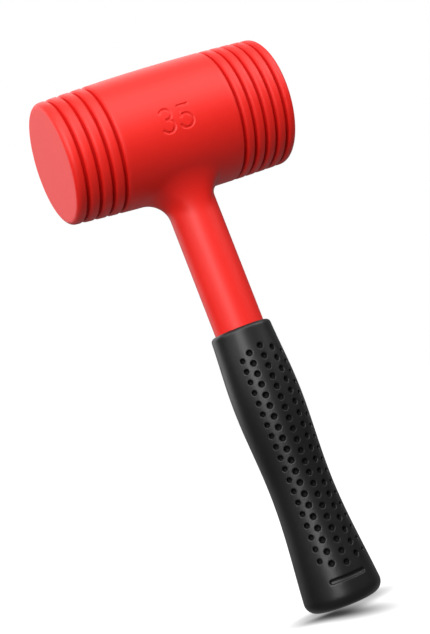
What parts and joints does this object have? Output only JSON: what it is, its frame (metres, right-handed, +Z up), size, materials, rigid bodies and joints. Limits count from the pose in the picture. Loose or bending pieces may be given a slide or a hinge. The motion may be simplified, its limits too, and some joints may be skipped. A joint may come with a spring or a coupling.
{
  "type": "soft face hammer",
  "caption": "Soft face dead blow hammer: a red cast barrel head with grooved ends on a steel cored handle with a dimpled black rubber grip.",
  "frame": {"origin": "centre of the flat end of the grip's butt, on the surface that the hammer stands on", "axes": "+Z up the handle to the head, X along the head from face to face, -Y the side that the picture shows"},
  "size_m": [0.1256, 0.0706, 0.2981],
  "materials": {
    "casing_polyurethane": "satin",
    "grip_rubber": "satin",
    "canister_steel": "mill",
    "rod_steel": "drawn",
    "shot_steel": "polished"
  },
  "bodies": {
    "hammer": {"casing": "casing_polyurethane", "grip_sleeve": "grip_rubber", "canister_tube": "canister_steel", "left_canister_disc": "canister_steel", "right_canister_disc": "canister_steel", "rod_socket": "rod_steel", "handle_rod": "rod_steel", "socket_pin": "rod_steel"},
    "shot": {"steel_shot": "shot_steel"}
  },
  "joints": [
    {"name": "shot_slide", "type": "slide", "parent": "hammer", "child": "shot", "axis": [1, 0, 0], "range_m": [-0.011, 0.011]}
  ]
}
